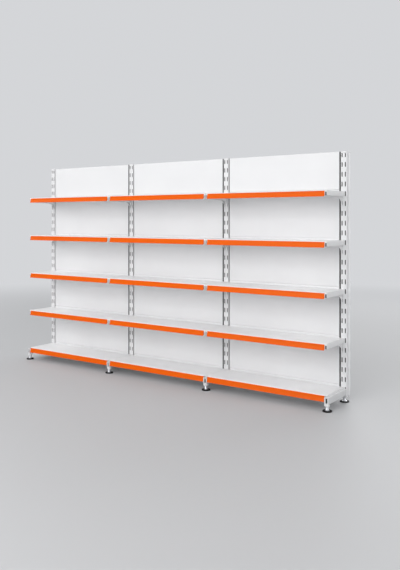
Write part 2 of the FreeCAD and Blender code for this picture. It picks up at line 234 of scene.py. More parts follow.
class Shell:
    """Vertices and faces of one piece, gathered grid by grid."""

    def __init__(self) -> None:
        """Start with no surface."""
        self.points: list[Array] = []
        self.faces: list[list[int]] = []
        self.coats: list[int] = []
        self.count = 0

    def grid(self, points: Array, wrap: bool = False, keep: Array | bool = True,
             coat: int | Array = 0) -> None:
        """Add a surface of two parameters.

        Args:
            points: Places of the grid, shape (n, m, 3).
            wrap: Whether the last row of the first parameter joins the first row.
            keep: Cells that stay, shape (n - 1, m - 1) or (n, m - 1) if wrapped; all if left out.
            coat: Number of the finish that all cells wear, or one for each row of cells.
        """
        rows, columns = points.shape[:2]
        index = np.arange(rows * columns).reshape(rows, columns) + self.count
        following = np.roll(index, -1, axis=0) if wrap else index[1:]
        leading = index if wrap else index[:-1]
        cells = np.stack([leading[:, :-1], following[:, :-1], following[:, 1:], leading[:, 1:]], axis=-1)
        kept = np.broadcast_to(keep, cells.shape[:2])
        coats = np.broadcast_to(np.reshape(coat, (-1, 1)), cells.shape[:2])
        self.points.append(points.reshape(-1, 3))
        self.faces.extend(cells[kept].tolist())
        self.coats.extend(coats[kept].tolist())
        self.count += rows * columns

    def tube(self, rings: Array, coat: int | Array = 0) -> None:
        """Add the wall that joins rings of points, shape (k, n, 3), in their order."""
        self.grid(np.swapaxes(rings, 0, 1), wrap=True, coat=coat)

    def prism(self, rings: Array, coat: int | Array = 0) -> None:
        """Add a closed solid: the wall through rings of points, with a flat face on both ends.

        Args:
            rings: Rings of points in their order, shape (k, n, 3).
            coat: Number of the finish that the wall wears, or one for each of its n strips.
        """
        self.tube(rings, coat)
        for ring in (rings[0], rings[-1]):
            self.points.append(ring)
            self.faces.append(list(range(self.count, self.count + len(ring))))
            self.coats.append(0)
            self.count += len(ring)

    def lathe(self, corners: list[Triple], centre: Array, sides: int, steps: int = 4) -> None:
        """Add a ring whose closed section is turned once round a vertical axis.

        Args:
            corners: Corners of the section: (radius, height, rounding).
            centre: A place on the axis, at the height that the corners count from.
            sides: Steps of the turn.
            steps: Points on each rounded corner.
        """
        section = softened(corners, steps)
        angle = np.linspace(0.0, FULL_TURN, sides + 1)[None, :]
        self.grid(about(centre, section[:, :1], angle, section[:, 1:]), wrap=True)

    @staticmethod
    def crisp_rims(mesh: bpy.types.Mesh) -> None:
        """Mark the open edges of a sheet as sharp, so that its thickness leaves the flats flat.

        Args:
            mesh: Mesh of the sheet, before it has its thickness.
        """
        used = np.empty(len(mesh.loops), dtype=np.int32)
        mesh.loops.foreach_get("edge_index", used)
        sharp = np.empty(len(mesh.edges), dtype=bool)
        mesh.edges.foreach_get("use_edge_sharp", sharp)
        mesh.edges.foreach_set("use_edge_sharp", sharp | (np.bincount(used, minlength=len(sharp)) == 1))

    def piece(self, name: str, outward: bool = True, crease: float = 32.0) -> Object:
        """Make the mesh object.

        Args:
            name: Name of the object.
            outward: Whether the normals of closed shells are turned outwards.
            crease: Edges sharper than this angle in degrees stay crisp.

        Returns:
            The new object, at the origin.
        """
        mesh = bpy.data.meshes.new(name)
        mesh.from_pydata(np.vstack(self.points).tolist(), [], self.faces)
        mesh.polygons.foreach_set("material_index", self.coats)
        work = bmesh.new()
        work.from_mesh(mesh)
        bmesh.ops.remove_doubles(work, verts=work.verts, dist=MERGE_DISTANCE)
        if outward:
            bmesh.ops.recalc_face_normals(work, faces=work.faces)
        work.to_mesh(mesh)
        work.free()
        mesh.shade_smooth()
        mesh.set_sharp_from_angle(angle=math.radians(crease))
        self.crisp_rims(mesh)
        return linked(name, mesh)


def normals_of(piece: Object) -> Array:
    """Normals of a piece's faces.

    Args:
        piece: The mesh object.

    Returns:
        Unit vectors, one for each face, shape (n, 3).
    """
    normals = np.empty((len(piece.data.polygons), 3), dtype=np.float32)
    piece.data.polygons.foreach_get("normal", normals.ravel())
    return normals


def turn_to(piece: Object, plane: Plane) -> None:
    """Turn a sheet's normals over if most of its surface looks away from where it should.

    Args:
        piece: The sheet.
        plane: Way that its face should look.
    """
    areas = np.empty(len(piece.data.polygons), dtype=np.float32)
    piece.data.polygons.foreach_get("area", areas)
    if areas @ normals_of(piece) @ plane.value < 0.0:
        piece.data.flip_normals()


def thicken(piece: Object, thickness: float, inner_step: int = 0) -> None:
    """Give a sheet its thickness behind its faces.

    Args:
        piece: The sheet.
        thickness: Thickness of the wall.
        inner_step: What is added to the number of a face's finish for the inner side of the wall.
    """
    wall = piece.modifiers.new("sheet", "SOLIDIFY")
    wall.thickness = thickness
    wall.offset = -1.0
    wall.use_even_offset = True
    wall.material_offset = inner_step


def soften(piece: Object, width: float, segments: int = 2, limit: float = 50.0) -> None:
    """Bevel the sharp edges of a piece.

    Args:
        piece: The piece.
        width: Width of the bevel.
        segments: Steps of the bevel.
        limit: Edges sharper than this angle in degrees are bevelled.
    """
    bevel = piece.modifiers.new("edges", "BEVEL")
    bevel.width = width
    bevel.segments = segments
    bevel.limit_method = "ANGLE"
    bevel.angle_limit = math.radians(limit)


# Finishes


def feed(target: bpy.types.Node, values: dict[str | int, object]) -> Outputs:
    """Link the sockets among the values to a node's inputs, and set the other values there.

    Args:
        target: The node.
        values: What goes to each input, by its name or number.

    Returns:
        Outputs of the node.
    """
    for key, value in values.items():
        if isinstance(value, Socket):
            target.id_data.links.new(value, target.inputs[key])
        else:
            target.inputs[key].default_value = value
    return target.outputs


def node(tree: Tree, kind: str, values: dict[str | int, object], **settings: object) -> Outputs:
    """New shader node with its settings, fed with the values.

    Args:
        tree: Tree to add it to.
        kind: Kind of node, without ShaderNode in front.
        values: What goes to each input, by its name or number.
        **settings: Properties of the node, by their names.

    Returns:
        Outputs of the node.
    """
    made = tree.nodes.new(f"ShaderNode{kind}")
    for name, value in settings.items():
        setattr(made, name, value)
    return feed(made, values)


@dataclass(frozen=True)
class Grain:
    """Noise on object coordinates: cells in a metre, octaves, and a factor on X, Y and Z."""

    scale: float
    detail: float = 2.0
    stretch: Triple = (1.0, 1.0, 1.0)

    def value(self, tree: Tree) -> Socket:
        """New noise nodes on object coordinates.

        Args:
            tree: Tree to add them to.

        Returns:
            The noise, from 0 to 1.
        """
        place = node(tree, "TexCoord", {})["Object"]
        mapped = node(tree, "Mapping", {"Vector": place, "Scale": self.stretch})["Vector"]
        return node(tree, "TexNoise", {"Vector": mapped, "Scale": self.scale, "Detail": self.detail})["Fac"]


@dataclass(frozen=True)
class Relief:
    """Bump of a surface: its grain, its strength and its depth in metres."""

    grain: Grain
    strength: float
    depth: float

    def normals(self, tree: Tree) -> Socket:
        """New bump nodes in a tree, with their normals."""
        return node(tree, "Bump", {"Height": self.grain.value(tree), "Strength": self.strength,
                                   "Distance": self.depth})["Normal"]


@dataclass(frozen=True)
class Finish:
    """Base of the finishes: two colours mixed by one grain, a gloss spread by another, and a fine relief.

    Only the middle of a grain counts, because noise seldom reaches 0 or 1.
    """

    tone: Triple
    shade: Triple
    drift: Grain
    roughness: Pair
    gloss: Grain | None = None
    relief: Relief | None = None
    metallic: float = 0.0
    specular: float = 0.5
    slot: Slot | None = None
    middle: Pair = (0.3, 0.7)

    @cache
    def material(self) -> bpy.types.Material:
        """The finish as a material.

        Returns:
            The material, made once and shared by every piece that wears it.
        """
        material = bpy.data.materials.new(type(self).__name__)
        material.use_nodes = True
        tree = material.node_tree
        values = {"Base Color": self.colour(tree), "Roughness": self.spread(tree), "Metallic": self.metallic,
                  "Specular IOR Level": self.specular}
        if self.relief is not None:
            values["Normal"] = self.relief.normals(tree)
        feed(tree.nodes["Principled BSDF"], values)
        return material

    def colour(self, tree: Tree) -> Socket:
        """Colour between the shade and the tone, by the drift.

        Args:
            tree: Tree of the material.

        Returns:
            The mixed colour.
        """
        ramp = tree.nodes.new("ShaderNodeValToRGB")
        for stop, place, colour in zip(ramp.color_ramp.elements, self.middle, (self.shade, self.tone)):
            stop.position = place
            stop.color = (*colour, 1.0)
        return feed(ramp, {"Fac": self.drift.value(tree)})["Color"]

    def spread(self, tree: Tree) -> Socket:
        """Roughness between its two limits, by the gloss, or by the drift if there is none.

        Args:
            tree: Tree of the material.

        Returns:
            The roughness.
        """
        grain = (self.gloss or self.drift).value(tree)
        limits = zip(("From Min", "From Max", "To Min", "To Max"), (*self.middle, *self.roughness))
        return node(tree, "MapRange", {"Value": grain, **dict(limits)})["Result"]


@dataclass(frozen=True)
class PowderCoat(Finish):
    """Satin white powder coat on steel, with a slow drift of tone and a fine orange-peel."""

    tone: Triple = (0.855, 0.855, 0.862)
    shade: Triple = (0.83, 0.83, 0.838)
    drift: Grain = Grain(3.2, 4.0)
    gloss: Grain = Grain(26.0, 3.0)
    roughness: Pair = (0.45, 0.52)
    relief: Relief = Relief(Grain(420.0, 1.0), 0.06, 0.0004)
    slot: Slot = Slot.COAT


@dataclass(frozen=True)
class ShelfCoatWithPaintedLight(PowderCoat):
    """The same coat painted brighter on the shelf trays than on the panels: painted light, standing in for the
    stronger light on the shelf tops.
    """

    tone: Triple = (0.935, 0.935, 0.940)
    shade: Triple = (0.910, 0.910, 0.916)


@dataclass(frozen=True)
class RailOrange(Finish):
    """Coloured extrusion of the ticket rails, with streaks and faint drawing lines along its length."""

    tone: Triple = (0.90, 0.133, 0.002)
    shade: Triple = (0.85, 0.118, 0.002)
    drift: Grain = Grain(60.0, 3.0, (0.03, 1.0, 1.0))
    gloss: Grain = Grain(35.0)
    roughness: Pair = (0.30, 0.42)
    relief: Relief = Relief(Grain(900.0, 1.0, (0.01, 1.0, 1.0)), 0.10, 0.0002)
    specular: float = 0.10
    slot: Slot = Slot.RAIL


@dataclass(frozen=True)
class ZincPlate(Finish):
    """Bright zinc plate on the turned steel of the feet, with a mottled gloss."""

    tone: Triple = (0.80, 0.81, 0.83)
    shade: Triple = (0.68, 0.69, 0.72)
    drift: Grain = Grain(160.0, 3.0)
    roughness: Pair = (0.24, 0.40)
    relief: Relief = Relief(Grain(1500.0, 1.0, (1.0, 1.0, 0.2)), 0.06, 0.0001)
    metallic: float = 1.0
    slot: Slot = Slot.ZINC


@dataclass(frozen=True)
class BlackRubber(Finish):
    """Moulded black rubber of the foot pads, dull with a fine grain."""

    tone: Triple = (0.011, 0.011, 0.012)
    shade: Triple = (0.006, 0.006, 0.007)
    drift: Grain = Grain(240.0, 4.0)
    roughness: Pair = (0.55, 0.75)
    relief: Relief = Relief(Grain(1300.0, 2.0), 0.15, 0.0002)
    specular: float = 0.25


@dataclass(frozen=True)
class PaintedShade(Finish):
    """Near-black mottled grey on the inner faces of closed sections and in narrow gaps: painted shade,
    standing in for the shade that falls there.
    """

    tone: Triple = (0.050, 0.050, 0.053)
    shade: Triple = (0.030, 0.030, 0.032)
    drift: Grain = Grain(55.0, 4.0)
    roughness: Pair = (0.55, 0.70)


@dataclass(frozen=True)
class MouldedPlastic(Finish):
    """White moulded plastic of the caps and plugs, with a fine spark-eroded grain."""

    tone: Triple = (0.78, 0.78, 0.785)
    shade: Triple = (0.74, 0.74, 0.748)
    drift: Grain = Grain(45.0, 3.0)
    roughness: Pair = (0.42, 0.54)
    relief: Relief = Relief(Grain(2200.0, 1.0), 0.08, 0.0002)
    slot: Slot = Slot.PLASTIC


# Pieces


class Assembly:
    """Base of the sub-assemblies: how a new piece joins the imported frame."""

    def dress(self, piece: Object, finish: Finish, body: str, solid: str,
              inside: Finish | None = None) -> None:
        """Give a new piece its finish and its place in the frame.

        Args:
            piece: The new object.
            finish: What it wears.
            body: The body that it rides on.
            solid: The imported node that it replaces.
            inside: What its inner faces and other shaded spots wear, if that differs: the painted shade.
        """
        piece.data.materials.append(finish.material())
        if inside is not None:
            piece.data.materials.append(inside.material())
        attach(piece, body)
        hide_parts(solid)
        log.info("%s: %d faces, on %s", piece.name, len(piece.data.polygons), body)


@dataclass
class FoldedPan:
    """Sheet with folded edges on four sides and open corners.

    The sheet is a grid of two parameters. Each parameter has a profile of place and depth that runs down one
    folded edge, round its bend, over the flat and down the other edge, and the depth of a grid point is the
    larger of its two profile depths. Cells where both parameters are past their bends are left out.
    """

    plane: Plane
    bend: float
    sheet: float = 0.001
    arc_steps: int = 5
    shell: Shell = field(default_factory=Shell)

    def profile(self, corners: list[Pair], extra: list[Pair]) -> Array:
        """Profile across the sheet, with its corners rounded by the bend.

        Args:
            corners: Points of (place, depth) from one edge of the sheet to the other.
            extra: Further points after the first bend.

        Returns:
            Points of (place, depth), shape (n, 2).
        """
        line = rounded(np.array(corners), self.bend, self.arc_steps, closed=False)
        return np.insert(line, 1 + self.arc_steps, np.reshape(extra, (-1, 2)), axis=0)

    def channel(self, low: float, high: float, drop: float, *inner: float) -> Array:
        """Profile with both edges folded to the same depth, and further places on its flat."""
        return self.profile([(low, drop), (low, 0.0), (high, 0.0), (high, drop)],
                            [(place, 0.0) for place in inner])

    def add(self, across: Array, along: Array, origin: float, keep: Array | bool = True) -> None:
        """Add the sheet of two profiles.

        Args:
            across: Profile along X, shape (n, 2).
            along: Profile along the other axis, shape (m, 2).
            origin: Height of a shelf's surface, or Y of a wall panel's face.
            keep: Cells that stay besides the open corners, shape (n - 1, m - 1).
        """
        depth = np.maximum(across[:, None, 1], along[None, :, 1])
        x, other = np.broadcast_arrays(across[:, None, 0], along[None, :, 0])
        shelf = self.plane is Plane.SHELF
        points = np.stack([x, other, origin - depth] if shelf else [x, origin + depth, other], axis=-1)
        past_across, past_along = (np.minimum(line[:-1, 1], line[1:, 1]) >= self.bend - MERGE_DISTANCE
                                   for line in (across, along))
        self.shell.grid(points, keep=~(past_across[:, None] & past_along[None, :]) & keep)

    def piece(self, name: str, inner_step: int = 0) -> Object:
        """The sheet as an object, with its thickness on the folded side.

        Args:
            name: Name of the object.
            inner_step: What is added to the number of a face's finish for its inner side.

        Returns:
            The new object.
        """
        made = self.shell.piece(name, outward=False)
        turn_to(made, self.plane)
        thicken(made, self.sheet, inner_step)
        return made


def shelf_tag(bay: int, level: int) -> str:
    """Name of a shelf by its bay and its level, with the base shelf as level 0."""
    return f"bay_{bay + 1}_" + (f"level_{level}" if level else "base")


@dataclass
class ShelfTray(Assembly):
    """One folded shelf tray."""

    bay: int
    level: int
    bend: float = 0.0022
    front_drop: float = 0.040
    front_return: float = 0.012
    rear_drop: float = 0.036
    end_drop: float = 0.036
    base_end_drop: float = 0.012
    corner_relief: float = 0.011
    corner_lip: float = 0.012
    leg_notch: float = 0.015
    shade_tab_inset: float = 0.0015
    shade_tab_lap: float = 0.002
    shade_tab_seat: float = 0.0005

    @property
    def relief(self) -> float:
        """Length at each end that the front flange leaves free."""
        return self.corner_relief if self.level else self.leg_notch

    def build(self) -> None:
        """Fold the tray and put it in the place of its solid."""
        tag = shelf_tag(self.bay, self.level)
        solid = f"shelf_tray_{tag}"
        low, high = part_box(solid)
        pan = FoldedPan(Plane.SHELF, self.bend)
        inner = sorted(place for inset in (self.leg_notch, self.relief)
                       for place in (low.x + inset, high.x - inset))
        across = pan.channel(low.x, high.x, self.end_drop if self.level else self.base_end_drop, *inner)
        along = pan.profile([(low.y + self.front_return, self.front_drop), (low.y, self.front_drop),
                             (low.y, 0.0), (high.y, 0.0), (high.y, self.rear_drop)],
                            [(low.y, self.corner_lip), (low.y, 2.0 * self.bend)])
        pan.add(across, along, high.z, self.cells(across, along, low, high))
        # At the right end of the run, a sheet in the painted shade darkens the corner relief of each upper
        # tray.
        has_shade_tab = self.level > 0 and self.bay == BAYS - 1
        if has_shade_tab:
            self.add_shade_tab(pan.shell, low, high)
        # The trays wear the coat with painted light, brighter than the same coat on the panels.
        self.dress(pan.piece(f"tray_{tag}"), ShelfCoatWithPaintedLight(), f"shelf_{tag}", solid,
                   inside=PaintedShade() if has_shade_tab else None)

    def add_shade_tab(self, shell: Shell, low: Vector, high: Vector) -> None:
        """Near-black sheet of painted shade that laps the corner relief from behind at the right end of the
        run, so the relief shows as a dark slit: an (x, z) patch.

        Args:
            shell: Shell to add to.
            low: Lowest corner of the tray.
            high: Highest corner of the tray.
        """
        patch = np.empty((2, 2, 3))
        patch[..., 0] = high.x - np.array([[self.corner_relief + self.shade_tab_lap], [self.shade_tab_seat]])
        patch[..., 1] = low.y + self.shade_tab_inset
        patch[..., 2] = high.z - np.array([self.end_drop, self.corner_lip - self.shade_tab_lap])
        shell.grid(patch, coat=1)

    def cells(self, across: Array, along: Array, low: Vector, high: Vector) -> Array:
        """Cells that stay: the front flange stops short of the ends, the rear one clears the uprights.

        Args:
            across: Profile along X, shape (n, 2).
            along: Profile from the front to the rear, shape (m, 2).
            low: Lowest corner of the tray.
            high: Highest corner of the tray.

        Returns:
            Whether each cell stays, shape (n - 1, m - 1).
        """
        x = (across[:-1, 0] + across[1:, 0]) / 2.0
        y, depth = ((along[:-1] + along[1:]) / 2.0).T
        reach = np.minimum(x - low.x, high.x - x)
        at_rear = y > (low.y + high.y) / 2.0
        lip = self.corner_lip if self.level else self.bend
        front_cut = (~at_rear & (depth > lip))[None, :] & (reach < self.relief)[:, None]
        rear_cut = (at_rear & (depth > self.bend))[None, :] & (reach < self.leg_notch)[:, None]
        return ~(front_cut | rear_cut)


@dataclass
class TicketRail(Assembly):
    """One ticket rail: a clip on the tray's front flange and a leaning face with two lips."""

    bay: int
    level: int
    wall: float = 0.002
    lean: float = 0.010
    seat_trim: float = 0.005
    lip_height: float = 0.005
    lip_wall: float = 0.0012
    ticket_slot: float = 0.001
    edge: float = 0.0004
    edge_steps: int = 4

    def outline(self, low: Vector, high: Vector) -> Array:
        """Rounded section of the extrusion in (y, z).

        Args:
            low: Lowest corner of the rail.
            high: Highest corner of the rail.

        Returns:
            Points of the section, shape (k, 2).
        """
        height = high.z - low.z
        root = high.y - self.wall

        def face(rise: float, stand_off: float = 0.0) -> Pair:
            """Point in front of the leaning face, by its rise above the lower edge."""
            return (root - self.lean + self.lean * rise / height - stand_off, low.z + rise)

        slot = self.ticket_slot
        lip_face = slot + self.lip_wall
        upper_lip = height - self.lip_height
        upper_floor = height - self.lip_wall
        upper = [face(height, lip_face), face(upper_lip, lip_face), face(upper_lip, slot),
                 face(upper_floor, slot), face(upper_floor)]
        lower = [face(self.lip_wall), face(self.lip_wall, slot), face(self.lip_height, slot),
                 face(self.lip_height, lip_face), face(0.0, lip_face)]
        crotch = high.z - height * self.wall / self.lean
        back = [(high.y - self.lean, low.z), (root, crotch), (root, low.z + self.seat_trim),
                (high.y, low.z + self.seat_trim)]
        return rounded(np.array([(high.y, high.z), *upper, *lower, *back]), self.edge, self.edge_steps)

    def build(self) -> None:
        """Draw the extrusion along the tray and put it in the place of its solid."""
        tag = shelf_tag(self.bay, self.level)
        solid = f"ticket_rail_{tag}"
        low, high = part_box(solid)
        shell = Shell()
        shell.prism(carried(self.outline(low, high), Axis.X, (low.x, high.x)))
        self.dress(shell.piece(f"rail_{tag}"), RailOrange(), f"shelf_{tag}", solid)


@dataclass
class BackPanels(Assembly):
    """Column of folded back panels in one bay."""

    bay: int
    bend: float = 0.002
    seam: float = 0.001
    first_seam: float = 0.125
    fold: float = 0.028
    sideways: float = 0.9

    def build(self) -> None:
        """Fold the panels, one above another, as one piece; their folded ends, which look along X, wear the
        painted shade.
        """
        solid = f"back_panels_bay_{self.bay + 1}"
        low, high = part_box(solid)
        pan = FoldedPan(Plane.WALL, self.bend)
        across = pan.channel(low.x, high.x, self.fold)
        seams = self.first_seam + SHELF_SPACING * np.arange(UPPER_LEVELS + 1)
        for bottom, top in zip([low.z, *seams], [*(seams - self.seam), high.z]):
            pan.add(across, pan.channel(bottom, top, self.fold), low.y)
        piece = pan.piece(f"panels_bay_{self.bay + 1}", inner_step=-1)
        # Faces that look along X, the folded ends in the gaps beside the uprights, get the painted shade: a
        # near-black finish standing for the shade there.
        ends = np.abs(normals_of(piece)[:, 0]) > self.sideways
        piece.data.polygons.foreach_set("material_index", ends.astype(np.int32))
        self.dress(piece, PowderCoat(), "frame", solid, inside=PaintedShade())


@dataclass
class LevellingFoot(Assembly):
    """One levelling foot: a threaded stem with its plate, and a rubber pad."""

    row: FootRow
    index: int
    pad_radius: float = 0.033
    pad_height: float = 0.008
    pad_chamfer: float = 0.001
    pad_edges: Triple = (0.0004, 0.0005, 0.0012)
    pad_edge_steps: int = 5
    plate_radius: float = 0.018
    plate_height: float = 0.003
    plate_rim: float = 0.0012
    plate_shoulder: float = 0.0021
    plate_edge: float = 0.0004
    shoulder_edge: float = 0.0008
    collar_margin: float = 0.0015
    collar_slope: float = 0.002
    collar_edge: float = 0.0006
    core: float = 0.0004
    core_edge: float = 5e-5
    stem_radius: float = 0.0125
    thread_pitch: float = 0.003
    thread_depth: float = 0.0008
    rows_in_pitch: int = 8
    nut_corners: float | None = None
    nut_low: float = 0.032
    nut_height: float = 0.008
    nut_chamfer: float = 0.0012
    nut_crown: float = 0.99
    nut_sides: int = 72
    sides: int = 48

    @classmethod
    def rear(cls, index: int) -> "LevellingFoot":
        """The thinner foot under an upright, with its lock nut."""
        return cls(FootRow.REAR, index, stem_radius=0.010, thread_pitch=0.0025, nut_corners=0.0346)

    def build(self) -> None:
        """Turn the stem and mould the pad."""
        row = self.row.value
        solid = f"{row}_foot_{self.index + 1}"
        low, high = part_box(solid)
        centre = np.array([*middle_of(solid)[:2], low.z])
        steel = Shell()
        self.add_plate(steel, centre)
        self.add_stem(steel, centre, high.z - low.z)
        if self.nut_corners is not None:
            self.add_nut(steel, centre, self.nut_corners / 2.0)
        self.dress(steel.piece(f"{row}_stem_{self.index + 1}"), ZincPlate(), f"{solid}_body", solid)
        rubber = Shell()
        self.add_pad(rubber, centre)
        self.dress(rubber.piece(f"{row}_pad_{self.index + 1}"), BlackRubber(), f"{solid}_body", solid)

    def add_plate(self, shell: Shell, centre: Array) -> None:
        """Pressed plate: a disc whose top slopes up to a raised collar round the stem.

        Args:
            shell: Shell to add to.
            centre: Middle of the foot, at the height of its pad's lower face.
        """
        base = self.pad_height
        top = base + self.plate_height
        collar = self.stem_radius + self.collar_margin
        shell.lathe([(self.core, base, self.core_edge), (self.plate_radius, base, self.plate_edge),
                     (self.plate_radius, base + self.plate_rim, self.plate_edge),
                     (collar + self.collar_slope, base + self.plate_shoulder, self.shoulder_edge),
                     (collar, top, self.collar_edge), (self.core, top, self.core_edge)], centre, self.sides)

    def add_stem(self, shell: Shell, centre: Array, high: float) -> None:
        """Threaded rod.

        The radius is the stem radius less a triangle wave of height minus angle, in turns, so that its ridges
        climb one pitch each turn; it fades to a plain end over the first and last pitch.

        Args:
            shell: Shell to add to.
            centre: Middle of the foot, at the height of its pad's lower face.
            high: Height of the stem's upper end above the centre.
        """
        low = self.pad_height + self.plate_height - self.core
        rows = int((high - low) / self.thread_pitch * self.rows_in_pitch)
        level = np.linspace(low, high, rows)[:, None]
        angle = round_angles(self.sides)
        phase = (level / self.thread_pitch - angle / FULL_TURN) % 1.0
        fade = np.clip(np.minimum(level - low, high - level) / self.thread_pitch, 0.0, 1.0)
        groove = 1.0 - np.abs(2.0 * phase - 1.0)
        radius = self.stem_radius - self.thread_depth * (groove * fade + (1.0 - fade))
        shell.prism(about(centre, radius, angle, level))

    def add_nut(self, shell: Shell, centre: Array, corner: float) -> None:
        """Hexagon nut: the smaller of a hexagon and a turned chamfer at each height.

        Args:
            shell: Shell to add to.
            centre: Middle of the foot, at the height of its pad's lower face.
            corner: Distance of the hexagon's corners from the axis.
        """
        angle = round_angles(self.nut_sides)
        flat = corner * math.cos(math.pi / 6.0)
        hexagon = flat / np.cos((angle + np.pi / 6.0) % (np.pi / 3.0) - np.pi / 6.0)
        rise = np.array([0.0, self.nut_chamfer, self.nut_height - self.nut_chamfer, self.nut_height])
        limit = np.array([flat * self.nut_crown, corner, corner, flat * self.nut_crown])
        radius = np.minimum(hexagon, limit[:, None])
        shell.prism(about(centre, radius, angle, self.nut_low + rise[:, None]))

    def add_pad(self, shell: Shell, centre: Array) -> None:
        """Rubber pad: a disc with a rounded edge and a small chamfer at the floor.

        Args:
            shell: Shell to add to.
            centre: Middle of the foot, at the height of its pad's lower face.
        """
        radius, high = self.pad_radius, self.pad_height
        floor_edge, side_edge, top_edge = self.pad_edges
        shell.lathe([(self.core, 0.0, self.core_edge), (radius - self.pad_chamfer, 0.0, floor_edge),
                     (radius, self.pad_chamfer, side_edge), (radius, high, top_edge),
                     (self.core, high, self.core_edge)], centre, self.sides, self.pad_edge_steps)


@dataclass(frozen=True)
class Hook:
    """Hook that passes through a slot of the upright and hangs behind its front wall."""

    neck: float = 0.010
    tongue: float = 0.011
    wall: float = 0.002
    play: float = 0.0003
    thickness: float = 0.005
    edge: float = 0.0003
    back_edge: float = 0.002
    tip_edge: float = 0.001

    def corners(self, slot_edge: float) -> list[Triple]:
        """Corners of the hook, from its neck down.

        Args:
            slot_edge: Height of the slot's lower edge.

        Returns:
            Corners of (y, z, rounding), with y from the uprights' front plane.
        """
        inner = self.wall + self.play
        outer = inner + self.thickness
        top = slot_edge + self.neck
        end = slot_edge - self.tongue
        return [(0.0, top, self.edge), (outer, top, self.back_edge), (outer, end, self.back_edge),
                (inner, end, self.tip_edge), (inner, slot_edge, self.edge), (0.0, slot_edge, self.edge)]


def hooked_plate(shell: Shell, corners: list[Triple], place: Triple, thickness: float) -> None:
    """Add a flat plate: its rounded (y, z) outline carried along X by the sheet thickness.

    Args:
        shell: Shell to add to.
        corners: Corners of (y, z, rounding), relative to the place.
        place: Middle of the sheet on the uprights' front plane, at the height that the corners count from.
        thickness: Sheet thickness.
    """
    half = thickness / 2.0
    outline = softened(corners, PLATE_ARC_STEPS) + place[1:]
    shell.prism(carried(outline, Axis.X, (place[0] - half, place[0] + half)))


